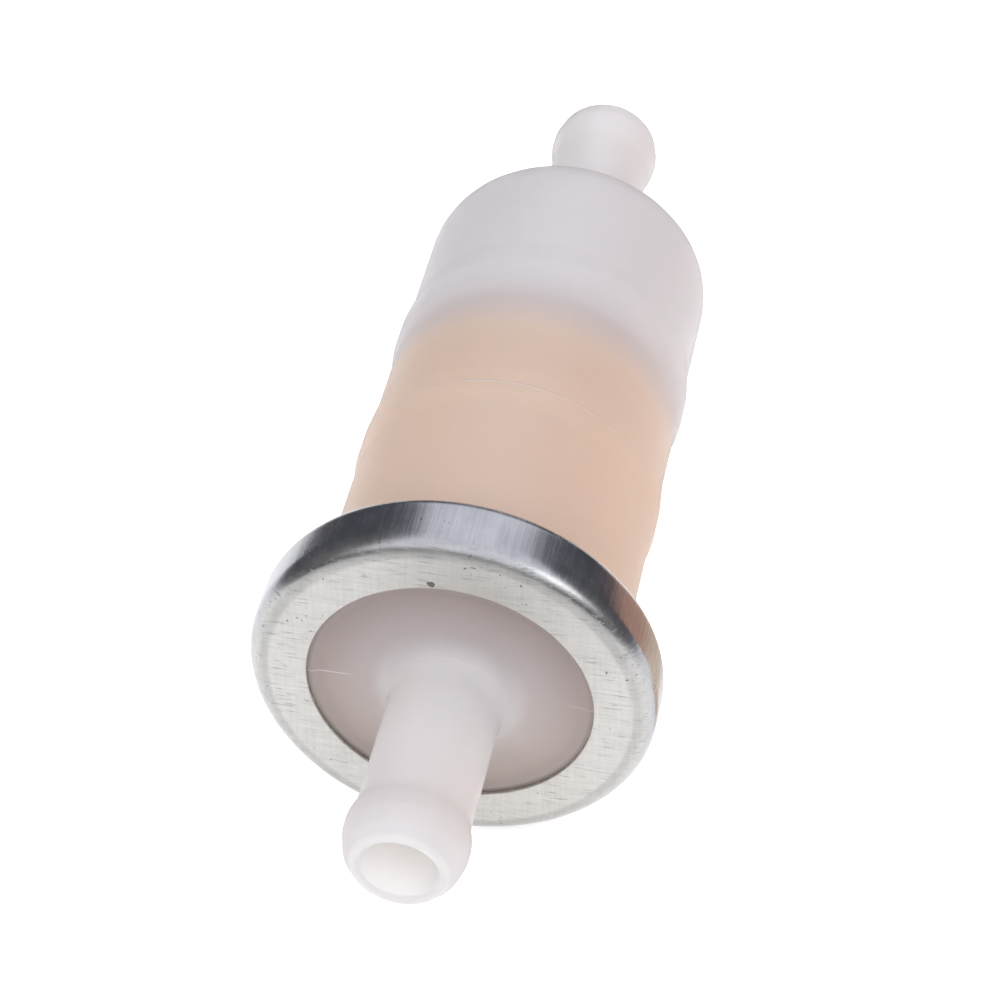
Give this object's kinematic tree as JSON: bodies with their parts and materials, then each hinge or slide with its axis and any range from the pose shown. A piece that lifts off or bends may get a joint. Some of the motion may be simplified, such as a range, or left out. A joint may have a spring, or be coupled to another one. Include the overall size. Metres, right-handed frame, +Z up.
{
  "type": "in-line fuel filter",
  "caption": "Translucent in-line fuel filter: a moulded cup with a beaded hose stub at each end, a pleated paper element inside, and a lid held by a crimped steel ring.",
  "frame": {"origin": "on the filter's axis, halfway between the tips of the two hose stubs", "axes": "+X along the filter towards the inlet stub's tip, +Z up, +Y to complete a right-handed frame"},
  "size_m": [0.09, 0.032, 0.032],
  "materials": {
    "clear_nylon": "satin, translucent",
    "plated_steel": "fine drawn lines, dull zinc",
    "seal_rubber": "matte",
    "cap_plastic": "satin",
    "filter_paper": "matte, fibrous",
    "potting_resin": "semi-gloss"
  },
  "bodies": {
    "root": {"inlet_housing": "clear_nylon", "outlet_cover": "clear_nylon", "crimp_ring": "plated_steel", "cover_seal": "seal_rubber", "spigot_seal": "seal_rubber", "outlet_end_cap": "cap_plastic", "inlet_end_cap": "cap_plastic", "core_tube": "cap_plastic", "pleated_paper": "filter_paper", "outlet_potting": "potting_resin", "inlet_potting": "potting_resin"}
  },
  "joints": []
}
